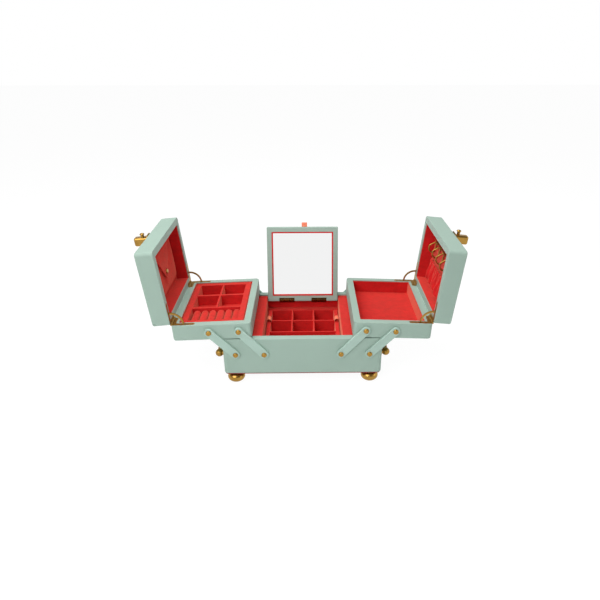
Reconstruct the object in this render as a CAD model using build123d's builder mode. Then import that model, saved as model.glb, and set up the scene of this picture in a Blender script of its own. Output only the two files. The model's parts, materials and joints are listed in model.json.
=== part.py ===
"""Two-sided cantilever vanity box with a mirror lid, shown fully open.

A padded base on four ball feet carries a tray box on each side.  Each tray box
hangs on two pairs of flat arms, droops a little when it stands open and comes
level when it swings in over the base.  Each tray box has a deep lid on L-shaped
box hinges, held open by quadrant stays that slide in slots of both rims.  The
well of the base holds a lift-out tray and is covered by a framed mirror.

Frame: millimetres, +X to the right, +Y to the back, +Z up, origin on the table
under the middle of the open box.  The pieces are drawn about the middle of the
base, which lies a little in front of that, and are moved as they are saved.
The left half is the right half turned half a turn about Z.
"""
from build123d import *
from math import acos, asin, atan2, cos, degrees, hypot, radians, sin
import os

# ---------------------------------------------------------------- base
base_width = 260
base_depth = 174
base_height = 65.5
base_wall = 11
base_floor = 7
corner_radius = 6
edge_radius = 2
rim_radius = 0.8
foot_height = 22
foot_radius = 14.5
foot_ball_middle = 9
foot_ball_rise = 9.6
foot_neck_radius = 8
foot_stud_radius = 2.5
foot_stud_length = 5
foot_inset_side = 17.5
foot_inset_front = 14.5
felt_thickness = 1.5
felt_inset = 1.5

# ---------------------------------------------------------------- well
well_width = 132
ledge_drop = 2.5
ledge_board = 4
ledge_fold_radius = 2
lining = 1
well_lining_drop = 4
well_floor_board = 2
well_tray_gap = 1.5
well_tray_height = 31
well_tray_side_wall = 7
well_tray_front_wall = 7
well_tray_back_wall = 3
well_tray_floor = 3
well_tray_back_gap = 11
well_block_gap = 0.6
divider = 2.4
well_tray_columns = 3
well_row_depth = 38.2
board_corner_radius = 2
board_edge_radius = 1
ribbon_thickness = 0.8
ribbon_width = 10
tab_width = 13
tab_drop = 8

# ---------------------------------------------------------------- mirror lid
mirror_gap = 1
mirror_height = 138
mirror_frame_thickness = 8
mirror_side_border = 8.7
mirror_bottom_border = 10.5
mirror_top_border = 9
mirror_glass_thickness = 2
mirror_reveal = 2.6
mirror_lining = 2.4
mirror_trim_drop = 0.4
mirror_edge_radius = 1.5
mirror_open_angle = 105
mirror_axis_from_wall = 6.5
mirror_axis_below_rim = 7.5
mirror_edge_beyond_axis = 2
mirror_ribbon_reach = 8
mirror_ribbon_offset = 3.8
mirror_ribbon_thickness = 1.8
mirror_hinge_width = 27.6
mirror_hinge_spacing = 60
mirror_knuckle_radius = 2.2
mirror_pin_radius = 1
mirror_notch_reach = 4.5
mirror_notch_gap = 0.4
mirror_leaf_depth = 7
mirror_wall_leaf_top = 5
mirror_wall_leaf_length = 10
leaf_thickness = 1.2
screw_radius = 1.4
screw_rise = 0.5
screw_spacing = 18

# ---------------------------------------------------------------- side handles
handle_reach = 9.5
handle_height = 26.3
handle_half_span = 63.5
handle_bar_radius = 4.2
handle_ball_radius = 6.5
handle_post_radius = 4
rosette_radius = 8
rosette_thickness = 1.8

# ---------------------------------------------------------------- arms
arm_pivot_inset = 21
arm_pivot_spacing = 46.5
arm_pivot_height = 38
arm_length = 57.4
arm_width = 14
arm_thickness = 3.4
arm_gap = 0.4
arm_chamfer = 0.6
rivet_radius = 2.4
rivet_fit = 0.06
rivet_depth = 8
rivet_head_radius = 4.3
rivet_head_height = 2.4
rivet_crown_radius = 2.1
open_pivot_clearance = 0.35

# ---------------------------------------------------------------- tray boxes
tray_inset_middle = 3.5
tray_inset_side = 1.2
tray_height = 27.5
tray_wall = 11
tray_floor = 4
tray_droop = 2.1
tray_pivot_height = 14
open_rest_gap = 0.27
closed_rest_gap = 0.5
rim_drop = 1.5
welt_radius = 0.45

# ---------------------------------------------------------------- tray insert
insert_gap = 1
insert_drop = 1.2
insert_side_wall = 9.5
insert_back_wall = 9
insert_front_wall = 6.5
insert_row_wall = 4.2
insert_column_wall = 2.8
insert_floor = 3
insert_back_row = 39.5
insert_middle_row = 43
roll_count = 6
roll_pitch = 13.3
roll_gap = 1.4
roll_end_gap = 1.5
roll_height = 15.5
roll_first = 8.6

# ---------------------------------------------------------------- lids
lid_inset = 1
lid_height = 28
lid_wall = 11
lid_top = 5
lid_open_angle = 93.5
rim_gap = 0.6

# ---------------------------------------------------------------- box hinges
hinge_long_leg = 37
hinge_short_leg = 26
hinge_leg_width = 6.5
hinge_end_inset = 2.5
hinge_short_leg_width = 7
leaf_corner_radius = 2
barrel_inset = 2
knuckle_radius = 2
knuckle_clearance = 0.4
knuckle_gap = 0.4
pin_radius = 1
pin_fit = 0.05
stay_radius = 19.6
stay_bar = 2.4
stay_width = 2.6
stay_tail_angle = 6
slot_clearance = 0.5
slot_end_angle = 5
slot_lead = 2

# ---------------------------------------------------------------- clasps
clasp_back_from_edge = 2.7
clasp_length = 14.5
clasp_width = 13
clasp_edge_radius = 3.5
clasp_nose_radius = 3
clasp_height = 24.5
clasp_plate_length = 22
clasp_plate_width = 15
clasp_plate_corner_radius = 2
clasp_plate_thickness = 1.2
clasp_offset = 4.1
knob_radius = 3.8
knob_thickness = 4.2
knob_reach = 7.5
knob_rise = 9
knob_neck_radius = 2.6

# ---------------------------------------------------------------- lid fittings
pocket_thickness = 5
pocket_margin = 3
pocket_hinge_margin = 9
pocket_end = 105
pocket_edge_radius = 3
flap_start = 103
flap_half_width = 45
flap_tip = 43
flap_tip_radius = 6.5
flap_shoulder_radius = 4
flap_thickness = 3.5
flap_gap = 0.4
snap_radius = 3.2
snap_height = 2.2
snap_crown_radius = 1.3
snap_from_tip = 16
hook_count = 5
hook_end_margin = 20
hook_wire_radius = 1.1
hook_stem = 3
hook_reach = 13.5
hook_shoulder = 8.5
hook_belly = 8
hook_length = 20.3
hook_nose = 8.5
hook_return = 5.3
hook_tip_gap = 3
hook_bend = 2.5
hook_from_hinge = 89
hook_plate_radius = 3
hook_plate_thickness = 1
gather_end = 50
gather_thickness = 8
gather_edge_radius = 3
gather_bead_radius = 2.2

# ---------------------------------------------------------------- worked-out places
SIDES = {"left": -1, "right": 1}
ENDS = {"front": -1, "rear": 1}

base_bottom = foot_height
rim = base_bottom + base_height
half_width = base_width / 2
half_depth = base_depth / 2
cavity_half_depth = half_depth - base_wall
cavity_floor = base_bottom + base_floor
ledge_top = rim - ledge_drop
well_half_width = well_width / 2
well_back = cavity_half_depth - lining
well_front = -well_back
well_floor = cavity_floor + well_floor_board
pivot_z = base_bottom + arm_pivot_height
arm_pivot_out = half_width - arm_pivot_inset
tray_width = half_width - tray_inset_middle
lid_length = tray_width - lid_inset


def unit(angle, side):
    """Direction leaning outboard from vertical by angle, on one side of the box."""
    return Vector(side * sin(radians(angle)), 0, cos(radians(angle)))


# The outer arm leans until the drooping tray box rests just over the base's rim.
# The inner arm closes the four-bar linkage so that the tray box is level when shut.
droop_cos = cos(radians(tray_droop))
droop_sin = sin(radians(tray_droop))
pivot_overhang = half_width - arm_pivot_out + tray_pivot_height * droop_sin
rest_rise = rim - pivot_z + open_rest_gap + tray_pivot_height * droop_cos
tip_distance = rest_rise * droop_cos + pivot_overhang * droop_sin
arm_lean = tray_droop + degrees(acos(tip_distance / arm_length))
open_tip_out = arm_pivot_out + arm_length * sin(radians(arm_lean))
open_tip_z = pivot_z + arm_length * cos(radians(arm_lean))
closed_tip_z = rim + closed_rest_gap + tray_pivot_height
closed_rise = closed_tip_z - pivot_z
closed_tip_out = arm_pivot_out - (arm_length**2 - closed_rise**2) ** 0.5
inner_pivot_out = arm_pivot_out - arm_pivot_spacing
open_run = open_tip_out - inner_pivot_out
open_rise = open_tip_z - pivot_z
closed_run = closed_tip_out - inner_pivot_out
tray_pivot_spacing = (open_run**2 + open_rise**2 - closed_run**2 - closed_rise**2) / (
    2 * (open_run * droop_cos - open_rise * droop_sin - closed_run)
)
inner_tip_run = open_run - tray_pivot_spacing * droop_cos
inner_tip_rise = open_rise + tray_pivot_spacing * droop_sin
inner_arm_length = hypot(inner_tip_run, inner_tip_rise)
inner_arm_lean = degrees(atan2(inner_tip_run, inner_tip_rise))

tray_outer = half_width - tray_inset_side - closed_tip_out
leg_middle = half_depth - hinge_end_inset - hinge_leg_width / 2


def tray_plane(side, height=0):
    """Frame of a tray box: x outboard from the outer pivot, z up from its underside."""
    out = Vector(side * droop_cos, 0, -droop_sin)
    up = Vector(side * droop_sin, 0, droop_cos)
    pivot = Vector(side * open_tip_out, 0, open_tip_z)
    return Plane(origin=pivot + up * (height - tray_pivot_height), x_dir=out, z_dir=up)


def hinge_point(side):
    """A point of the lid's hinge axis, at mid-depth, on the tray's outer top edge."""
    return tray_plane(side, tray_height + rim_gap / 2).from_local_coords(Vector(tray_outer, 0, 0))


def lid_plane(side, height=0):
    """Frame of an open lid: x from the hinge to the free edge, z from rim to top."""
    tray = tray_plane(side)
    turn = radians(lid_open_angle)
    along = tray.z_dir * sin(turn) - tray.x_dir * cos(turn)
    up = tray.x_dir * sin(turn) + tray.z_dir * cos(turn)
    return Plane(origin=hinge_point(side) + up * height, x_dir=along, z_dir=up)


mirror_turn = radians(mirror_open_angle)
mirror_axis = Vector(0, cavity_half_depth - mirror_axis_from_wall, rim - mirror_axis_below_rim)
mirror_along = Vector(0, -cos(mirror_turn), sin(mirror_turn))
mirror_back = Vector(0, sin(mirror_turn), cos(mirror_turn))
mirror_half_width = well_half_width - mirror_gap


def mirror_plane(height=0):
    """Frame of the mirror lid: x from hinge to free edge, y to the right, z to its back."""
    return Plane(origin=mirror_axis + mirror_back * height, x_dir=mirror_along, z_dir=mirror_back)


# The open box reaches from the front rivet heads to the top of the leaning mirror.
half_frame = mirror_frame_thickness / 2
mirror_free_edge = mirror_height - mirror_edge_beyond_axis
front_reach = half_depth + arm_gap + arm_thickness + rivet_head_height
corner_along = mirror_free_edge - mirror_edge_radius
corner_back = half_frame - mirror_edge_radius
rear_reach = (mirror_axis + mirror_along * corner_along + mirror_back * corner_back).Y + mirror_edge_radius
to_origin = Location((0, (front_reach - rear_reach) / 2, 0))


def save(part, name):
    """Label a finished piece and write it as its own node."""
    placed = part.moved(to_origin)
    placed.label = name
    export_step(placed, f"parts/{name}.step")


def soften(part, plane, upright_radius, near_radius, far_radius):
    """Round the upright edges of a box drawn on plane, then its near and far faces."""
    across_plane = Axis(plane.origin, plane.z_dir)
    fillet(part.edges().filter_by(across_plane), upright_radius)
    for place, radius in ((0, near_radius), (-1, far_radius)):
        level = part.faces().filter_by(across_plane).sort_by(across_plane)[place]
        fillet(level.edges(), radius)


os.makedirs("parts", exist_ok=True)

# ================================================================ base
base_plane = Plane.XY.offset(base_bottom)
foot_places = GridLocations(
    base_width - 2 * foot_inset_side, base_depth - 2 * foot_inset_front, 2, 2
).locations

with BuildPart() as base_case:
    with BuildSketch(base_plane):
        Rectangle(base_width, base_depth)
    extrude(amount=base_height)
    soften(base_case, base_plane, corner_radius, edge_radius, rim_radius)
    with BuildSketch(Plane.XY.offset(rim)):
        Rectangle(base_width - 2 * base_wall, base_depth - 2 * base_wall)
    extrude(amount=-(base_height - base_floor), mode=Mode.SUBTRACT)
    with BuildSketch(base_plane):
        with Locations(foot_places):
            Circle(foot_stud_radius)
    extrude(amount=foot_stud_length, mode=Mode.SUBTRACT)
    for end in ENDS.values():
        face = Plane(origin=(0, end * half_depth, pivot_z), x_dir=(1, 0, 0), z_dir=(0, end, 0))
        with BuildSketch(face):
            with Locations(
                *[(s * o, 0) for s in SIDES.values() for o in (arm_pivot_out, inner_pivot_out)]
            ):
                Circle(rivet_radius)
        extrude(amount=-rivet_depth, mode=Mode.SUBTRACT)
save(base_case.part, "base_case")

with BuildPart() as base_felt:
    with BuildSketch(base_plane):
        RectangleRounded(
            base_width - 2 * felt_inset, base_depth - 2 * felt_inset, corner_radius - felt_inset
        )
        with Locations(foot_places):
            Circle(foot_neck_radius + 2 * felt_thickness, mode=Mode.SUBTRACT)
    extrude(amount=-felt_thickness)
save(base_felt.part, "base_felt")

ball_start = -degrees(asin(foot_ball_middle / foot_ball_rise))
ball_turn = degrees(acos(foot_neck_radius / foot_radius)) - ball_start
stud_top = foot_height + foot_stud_length
with BuildPart() as feet:
    for place in foot_places:
        x, y = place.position.X, place.position.Y
        with BuildSketch(Plane(origin=(x, y, 0), x_dir=(1, 0, 0), z_dir=(0, -1, 0))):
            with BuildLine():
                bun = EllipticalCenterArc(
                    (0, foot_ball_middle), foot_radius, foot_ball_rise, ball_start, arc_size=ball_turn
                )
                Polyline(
                    bun @ 1,
                    (foot_neck_radius, foot_height),
                    (foot_stud_radius, foot_height),
                    (foot_stud_radius, stud_top),
                    (0, stud_top),
                    (0, 0),
                    bun @ 0,
                )
            make_face()
        revolve(axis=Axis((x, y, 0), (0, 0, 1)))
save(feet.part, "feet")

for name, side in SIDES.items():
    board_width = half_width - base_wall - well_half_width
    with BuildPart() as ledge:
        with BuildSketch(Plane.XY.offset(ledge_top)):
            with Locations((side * (well_half_width + board_width / 2), 0)):
                Rectangle(board_width, 2 * cavity_half_depth)
        extrude(amount=-ledge_board)
        with BuildSketch(Plane.XY.offset(cavity_floor)):
            with Locations((side * (well_half_width + ledge_board / 2), 0)):
                Rectangle(ledge_board, 2 * cavity_half_depth)
        extrude(amount=ledge_top - cavity_floor)
        folds = ledge.edges().filter_by(Axis.Y).group_by(Axis.Z)[-1]
        fillet(folds.sort_by(Axis.X)[-1 if side < 0 else 0], ledge_fold_radius)
    save(ledge.part, f"{name}_ledge")

with BuildPart() as well_lining:
    with BuildSketch(Plane.XY.offset(cavity_floor)):
        Rectangle(well_width, 2 * cavity_half_depth)
    extrude(amount=rim - well_lining_drop - cavity_floor)
    with BuildSketch(Plane.XY.offset(well_floor)):
        Rectangle(well_width, 2 * well_back)
    extrude(amount=base_height, mode=Mode.SUBTRACT)
    with BuildSketch(Plane.XY.offset(well_floor)):
        block_front = well_back - well_tray_back_gap + well_block_gap
        with Locations((0, (block_front + well_back) / 2)):
            Rectangle(well_width, well_back - block_front)
    extrude(amount=well_tray_height)
save(well_lining.part, "well_lining")


def rivet(plane):
    """One domed rivet in the current part: z of plane points out of the head."""
    with BuildSketch(plane.offset(-rivet_depth)) as shank:
        Circle(rivet_radius)
    extrude(shank.sketch, amount=rivet_depth + arm_gap + arm_thickness)
    with BuildSketch(plane.offset(arm_gap + arm_thickness)) as head:
        Circle(rivet_head_radius)
    extrude(head.sketch, amount=rivet_head_height)
    crown = faces(Select.LAST).sort_by(Axis(plane.origin, plane.z_dir))[-1]
    fillet(crown.edges(), rivet_crown_radius)


with BuildPart() as base_rivets:
    for end in ENDS.values():
        for side in SIDES.values():
            for out in (arm_pivot_out, inner_pivot_out):
                pivot = (side * out, end * half_depth, pivot_z)
                rivet(Plane(origin=pivot, x_dir=(1, 0, 0), z_dir=(0, end, 0)))
save(base_rivets.part, "base_rivets")

ball_angle = degrees(asin(handle_bar_radius / handle_ball_radius))
for name, side in SIDES.items():
    bar_x = side * (half_width + handle_reach)
    bar_z = base_bottom + handle_height
    with BuildPart() as handle:
        with BuildSketch(Plane(origin=(bar_x, 0, bar_z), x_dir=(0, 1, 0), z_dir=(1, 0, 0))):
            with BuildLine():
                near_ball = CenterArc((handle_half_span, 0), handle_ball_radius, 0, 180 - ball_angle)
                far_ball = CenterArc((-handle_half_span, 0), handle_ball_radius, ball_angle, 180 - ball_angle)
                Line(near_ball @ 1, far_ball @ 0)
                Line(far_ball @ 1, near_ball @ 0)
            make_face()
        revolve(axis=Axis((bar_x, 0, bar_z), (0, 1, 0)))
        for end in ENDS.values():
            post_foot = (side * half_width, end * handle_half_span, bar_z)
            wall = Plane(origin=post_foot, x_dir=(0, 1, 0), z_dir=(side, 0, 0))
            with BuildSketch(wall):
                Circle(rosette_radius)
            extrude(amount=rosette_thickness)
            with BuildSketch(wall):
                Circle(handle_post_radius)
            extrude(amount=handle_reach)
    save(handle.part, f"{name}_handle")

# ================================================================ lift-out well tray
well_tray_back = well_back - well_tray_back_gap
well_tray_front = well_front + well_tray_gap
well_tray_half_width = well_half_width - well_tray_gap
well_tray_inner = 2 * (well_tray_half_width - well_tray_side_wall)
well_tray_top = well_floor + well_tray_height
cell_width = (well_tray_inner - (well_tray_columns - 1) * divider) / well_tray_columns
cell_back = well_tray_back - well_tray_back_wall
long_cell_front = well_tray_front + well_tray_front_wall
long_cell_back = cell_back - 2 * (well_row_depth + divider)

with BuildPart() as well_tray:
    with BuildSketch(Plane.XY.offset(well_floor)):
        with Locations((0, (well_tray_back + well_tray_front) / 2)):
            RectangleRounded(2 * well_tray_half_width, well_tray_back - well_tray_front, board_corner_radius)
    extrude(amount=well_tray_height)
    fillet(well_tray.faces().sort_by(Axis.Z)[-1].edges(), board_edge_radius)
    with BuildSketch(Plane.XY.offset(well_tray_top)):
        for row in range(2):
            row_middle = cell_back - row * (well_row_depth + divider) - well_row_depth / 2
            with Locations((0, row_middle)):
                with GridLocations(cell_width + divider, 1, well_tray_columns, 1):
                    Rectangle(cell_width, well_row_depth)
        with Locations((0, (long_cell_back + long_cell_front) / 2)):
            Rectangle(well_tray_inner, long_cell_back - long_cell_front)
    extrude(amount=-(well_tray_height - well_tray_floor), mode=Mode.SUBTRACT)
save(well_tray.part, "well_tray")

tab_y = cell_back - well_row_depth - divider / 2
with BuildPart() as well_tray_ribbons:
    for side in SIDES.values():
        strip_middle = side * (well_tray_half_width - (well_tray_side_wall - ribbon_thickness) / 2)
        drop_middle = side * (well_tray_half_width + ribbon_thickness / 2)
        with BuildSketch(Plane(origin=(0, tab_y, well_tray_top), x_dir=(1, 0, 0), z_dir=(0, -1, 0))):
            with Locations((strip_middle, ribbon_thickness / 2)):
                Rectangle(well_tray_side_wall + ribbon_thickness, ribbon_thickness)
            with Locations((drop_middle, (ribbon_thickness - tab_drop) / 2)):
                Rectangle(ribbon_thickness, tab_drop + ribbon_thickness)
        extrude(amount=tab_width / 2, both=True)
save(well_tray_ribbons.part, "well_tray_ribbons")

# ================================================================ folding arms
def arm(side, end, out, length, lean, tip_bore):
    """One flat arm from its base pivot to its tray pivot, standing on one end face."""
    foot_point = Vector(side * out, end * (half_depth + arm_gap), pivot_z)
    reach = unit(lean, side)
    face = Plane(origin=foot_point, x_dir=reach, z_dir=(0, end, 0))
    with BuildSketch(face) as outline:
        with Locations((length / 2, 0)):
            SlotCenterToCenter(length, arm_width)
        Circle(rivet_radius + rivet_fit, mode=Mode.SUBTRACT)
        with Locations((length, 0)):
            Circle(rivet_radius + tip_bore, mode=Mode.SUBTRACT)
    extrude(outline.sketch, amount=arm_thickness)
    show_face = faces().filter_by(Axis.Y).sort_by(Axis.Y)[-1 if end > 0 else 0]
    chamfer(show_face.outer_wire().edges(), arm_chamfer)


ARMS = {
    "outer": (arm_pivot_out, arm_length, arm_lean, rivet_fit),
    "inner": (inner_pivot_out, inner_arm_length, inner_arm_lean, rivet_fit + open_pivot_clearance),
}
for name, side in SIDES.items():
    for pair, (out, length, lean, tip_bore) in ARMS.items():
        for end_name, end in ENDS.items():
            with BuildPart() as flat_arm:
                arm(side, end, out, length, lean, tip_bore)
            save(flat_arm.part, f"{name}_{pair}_arm_{end_name}")

# ================================================================ tray boxes and their lids
# A tray box and its lid are the same kind of shell, drawn from the rim plane:
# x runs from the hinge to the free side, z goes into the shell.
SHELLS = {
    "tray": (tray_width, tray_height, tray_wall, tray_floor),
    "lid": (lid_length, lid_height, lid_wall, lid_top),
}


def rim_plane(side, kind, depth=0):
    """Frame on the rim of a tray box or of its lid, under the hinge axis."""
    if kind == "lid":
        return lid_plane(side, rim_gap / 2 + depth)
    tray = tray_plane(side, tray_height - depth)
    origin = tray.from_local_coords(Vector(tray_outer, 0, 0))
    return Plane(origin=origin, x_dir=tray.x_dir * -1, z_dir=tray.z_dir * -1)


def axis_plane(side, kind, along):
    """Section across the hinge axis of a shell: x along the rim, y into the shell."""
    rim_frame = rim_plane(side, kind)
    origin = rim_frame.from_local_coords(Vector(0, along, -rim_gap / 2))
    return Plane(origin=origin, x_dir=rim_frame.x_dir, z_dir=rim_frame.y_dir * -1)


def ring_sector(plane, inner, outer, start, span):
    """Flat sector of a ring about the origin of plane."""
    with BuildSketch(plane) as ring:
        with BuildLine():
            far = CenterArc((0, 0), outer, start, span)
            near = CenterArc((0, 0), inner, start, span)
            Line(far @ 0, near @ 0)
            Line(far @ 1, near @ 1)
        make_face()
    return ring.sketch


def disc(plane, radius):
    """Flat disc about the origin of plane."""
    with BuildSketch(plane) as face:
        Circle(radius)
    return face.sketch


leg_edge = leg_middle + hinge_leg_width / 2
barrel_start = leg_edge - hinge_short_leg
barrel_length = hinge_short_leg - barrel_inset
groove_start = barrel_start - knuckle_gap
groove_length = barrel_length + 2 * knuckle_gap
groove_radius = knuckle_radius + knuckle_clearance
knuckle_length = (barrel_length - 2 * knuckle_gap) / 3
knuckle_pitch = knuckle_length + knuckle_gap
KNUCKLES = {"tray": (0, 2), "lid": (1,)}
half_turn = lid_open_angle / 2
slot_span = half_turn + stay_tail_angle + slot_end_angle
stay_outer = stay_radius + stay_bar / 2
stay_inner = stay_radius - stay_bar / 2
stay_start = -(lid_open_angle + stay_tail_angle)
stay_span = lid_open_angle + 2 * stay_tail_angle
slot_outer = stay_outer + slot_clearance
slot_inner = stay_inner - slot_clearance
slot_width = stay_width + 2 * slot_clearance


def leaf_outline(side, kind, end):
    """L-shaped outline of one hinge leaf, on the rim of a shell."""
    with BuildSketch(rim_plane(side, kind)) as outline:
        with Locations((hinge_long_leg / 2, end * leg_middle)):
            Rectangle(hinge_long_leg, hinge_leg_width)
        with Locations((hinge_short_leg_width / 2, end * (leg_edge - hinge_short_leg / 2))):
            Rectangle(hinge_short_leg_width, hinge_short_leg)
        fillet(outline.vertices(), leaf_corner_radius)
    return outline.sketch


def cut_hinge_seats(side, kind):
    """Cut the leaf recesses, the barrel grooves and the curved stay slots of a shell."""
    for end in ENDS.values():
        extrude(leaf_outline(side, kind, end), amount=leaf_thickness, mode=Mode.SUBTRACT)
        groove = disc(axis_plane(side, kind, end * groove_start), groove_radius)
        extrude(groove, amount=-end * groove_length, mode=Mode.SUBTRACT)
        slot_plane = axis_plane(side, kind, end * leg_middle)
        slot = ring_sector(slot_plane, slot_inner, slot_outer, -slot_lead, slot_span + slot_lead)
        extrude(slot, amount=slot_width / 2, both=True, mode=Mode.SUBTRACT)


def hinge_leaf(side, kind, end, bore):
    """One L-shaped leaf with its knuckles, with the slot for the stay."""
    extrude(leaf_outline(side, kind, end), amount=leaf_thickness)
    groove_plane = axis_plane(side, kind, end * groove_start)
    extrude(disc(groove_plane, groove_radius), amount=-end * groove_length, mode=Mode.SUBTRACT)
    for place in KNUCKLES[kind]:
        start = barrel_start + place * knuckle_pitch
        collar = disc(axis_plane(side, kind, end * start), knuckle_radius)
        extrude(collar, amount=-end * knuckle_length)
        middle = end * (start + knuckle_length / 2)
        with BuildSketch(rim_plane(side, kind)) as tongue:
            with Locations(((groove_radius + knuckle_clearance) / 2, middle)):
                Rectangle(groove_radius + knuckle_clearance, knuckle_length)
        extrude(tongue.sketch, amount=leaf_thickness)
    extrude(disc(groove_plane, bore), amount=-end * groove_length, mode=Mode.SUBTRACT)
    slot_plane = axis_plane(side, kind, end * leg_middle)
    slot = ring_sector(slot_plane, slot_inner, slot_outer, -slot_lead, slot_span)
    extrude(slot, amount=slot_width / 2, both=True, mode=Mode.SUBTRACT)


def tray_welt(side):
    """Thin welt along the hinge axis that closes the gap between the two rims."""
    root_x = rim_radius
    root_y = rim_gap / 2 + rim_radius
    welt_half_length = groove_start - knuckle_gap
    with BuildSketch(axis_plane(side, "tray", 0)) as section:
        SlotCenterPoint((root_x / 2, root_y / 2), (root_x, root_y), 2 * welt_radius)
    extrude(section.sketch, amount=welt_half_length, both=True)


def tray_pivot_planes(side):
    """Planes on both end faces of a tray box, one at each arm pivot, facing out."""
    tray = tray_plane(side, tray_pivot_height)
    for end in ENDS.values():
        for inboard in (0, tray_pivot_spacing):
            origin = tray.from_local_coords(Vector(-inboard, 0, 0)) + Vector(0, end * half_depth, 0)
            yield Plane(origin=origin, x_dir=(1, 0, 0), z_dir=(0, end, 0))


BORES = {"tray": pin_radius, "lid": pin_radius + pin_fit}
for name, side in SIDES.items():
    for kind, (length, height, wall, floor) in SHELLS.items():
        rim_frame = rim_plane(side, kind)
        with BuildPart() as shell:
            with BuildSketch(rim_frame):
                with Locations((length / 2, 0)):
                    Rectangle(length, base_depth)
            extrude(amount=height)
            soften(shell, rim_frame, corner_radius, rim_radius, edge_radius)
            with BuildSketch(rim_frame):
                with Locations((length / 2, 0)):
                    Rectangle(length - 2 * wall, 2 * cavity_half_depth)
            extrude(amount=height - floor, mode=Mode.SUBTRACT)
            cut_hinge_seats(side, kind)
            if kind == "tray":
                tray_welt(side)
                for pivot in tray_pivot_planes(side):
                    extrude(disc(pivot, rivet_radius), amount=-rivet_depth, mode=Mode.SUBTRACT)
        save(shell.part, f"{name}_{kind}_case")

        with BuildPart() as shell_lining:
            with BuildSketch(rim_plane(side, kind, rim_drop)):
                with Locations((length / 2, 0)):
                    Rectangle(length - 2 * wall, 2 * cavity_half_depth)
            extrude(amount=height - floor - rim_drop)
            with BuildSketch(rim_plane(side, kind, rim_drop)):
                with Locations((length / 2, 0)):
                    Rectangle(length - 2 * (wall + lining), 2 * well_back)
            extrude(amount=height - floor - rim_drop - lining, mode=Mode.SUBTRACT)
        save(shell_lining.part, f"{name}_{kind}_lining")

        with BuildPart() as leaves:
            hinge_leaf(side, kind, ENDS["front"], BORES[kind])
        with BuildPart() as rear_leaf:
            hinge_leaf(side, kind, ENDS["rear"], BORES[kind])
        with leaves:
            add(rear_leaf.part)
        save(leaves.part, f"{name}_{kind}_hinge_leaves")

    with BuildPart() as hinge_pins:
        for end in ENDS.values():
            pin_end = disc(axis_plane(side, "tray", end * barrel_start), pin_radius)
            extrude(pin_end, amount=-end * barrel_length)
    save(hinge_pins.part, f"{name}_hinge_pins")

    with BuildPart() as stays:
        for end in ENDS.values():
            stay_plane = axis_plane(side, "tray", end * leg_middle)
            bar = ring_sector(stay_plane, stay_inner, stay_outer, stay_start, stay_span)
            extrude(bar, amount=stay_width / 2, both=True)
    save(stays.part, f"{name}_lid_stays")

    with BuildPart() as tray_rivets:
        for pivot in tray_pivot_planes(side):
            rivet(pivot)
    save(tray_rivets.part, f"{name}_tray_rivets")

# ================================================================ insert of the left tray box
left = SIDES["left"]
insert_start = tray_wall + lining + insert_gap
insert_length = tray_width - 2 * insert_start
insert_half_depth = well_back - insert_gap
insert_bottom = tray_height - tray_floor - lining
insert_height = insert_bottom - insert_drop
insert_middle = insert_start + insert_length / 2
insert_inner = insert_length - 2 * insert_side_wall
column_width = (insert_inner - insert_column_wall) / 2
row_back = insert_half_depth - insert_back_wall
middle_row_back = row_back - insert_back_row - insert_row_wall
roll_row_back = middle_row_back - insert_middle_row - insert_row_wall
roll_row_front = insert_front_wall - insert_half_depth
insert_rim = rim_plane(left, "tray", insert_drop)

with BuildPart() as left_insert:
    with BuildSketch(insert_rim):
        with Locations((insert_middle, 0)):
            RectangleRounded(insert_length, 2 * insert_half_depth, board_corner_radius)
    extrude(amount=insert_height)
    top_face = left_insert.faces().filter_by(Axis(insert_rim.origin, insert_rim.z_dir)).sort_by(Axis.Z)[-1]
    fillet(top_face.edges(), board_edge_radius)
    with BuildSketch(insert_rim):
        for row_start, row_depth in ((row_back, insert_back_row), (middle_row_back, insert_middle_row)):
            with Locations((insert_middle, left * (row_start - row_depth / 2))):
                with GridLocations(column_width + insert_column_wall, 1, 2, 1):
                    Rectangle(column_width, row_depth)
        with Locations((insert_middle, left * (roll_row_back + roll_row_front) / 2)):
            Rectangle(insert_inner, roll_row_back - roll_row_front)
    extrude(amount=insert_height - insert_floor, mode=Mode.SUBTRACT)
save(left_insert.part, "left_insert")

roll_width = roll_pitch - roll_gap
roll_length = roll_row_back - roll_row_front - 2 * roll_end_gap
roll_start = insert_start + insert_side_wall + roll_first
with BuildPart() as ring_rolls:
    roll_row = rim_plane(left, "tray", insert_bottom - insert_floor)
    roll_middle = left * (roll_row_back + roll_row_front) / 2
    roll_origin = roll_row.from_local_coords(Vector(roll_start, roll_middle, 0))
    with BuildSketch(Plane(origin=roll_origin, x_dir=roll_row.x_dir, z_dir=roll_row.y_dir)):
        with GridLocations(roll_pitch, 1, roll_count, 1, align=(Align.MIN, Align.CENTER)):
            with Locations((0, roll_height - roll_width / 2)):
                Circle(roll_width / 2)
            with Locations((0, (roll_height - roll_width / 2) / 2)):
                Rectangle(roll_width, roll_height - roll_width / 2)
    extrude(amount=roll_length / 2, both=True)
save(ring_rolls.part, "ring_rolls")

# ================================================================ mirror lid
mirror_middle = (mirror_free_edge - mirror_edge_beyond_axis) / 2
recess_depth = mirror_glass_thickness + mirror_reveal
recess_start = -mirror_edge_beyond_axis + mirror_bottom_border
recess_end = mirror_free_edge - mirror_top_border
recess_middle = (recess_start + recess_end) / 2
recess_length = recess_end - recess_start
recess_width = 2 * (mirror_half_width - mirror_side_border)
glass_length = recess_length - 2 * mirror_lining
glass_width = recess_width - 2 * mirror_lining
hinge_places = [side * mirror_hinge_spacing / 2 for side in SIDES.values()]
notch_width = mirror_hinge_width + 2 * mirror_notch_gap

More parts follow.
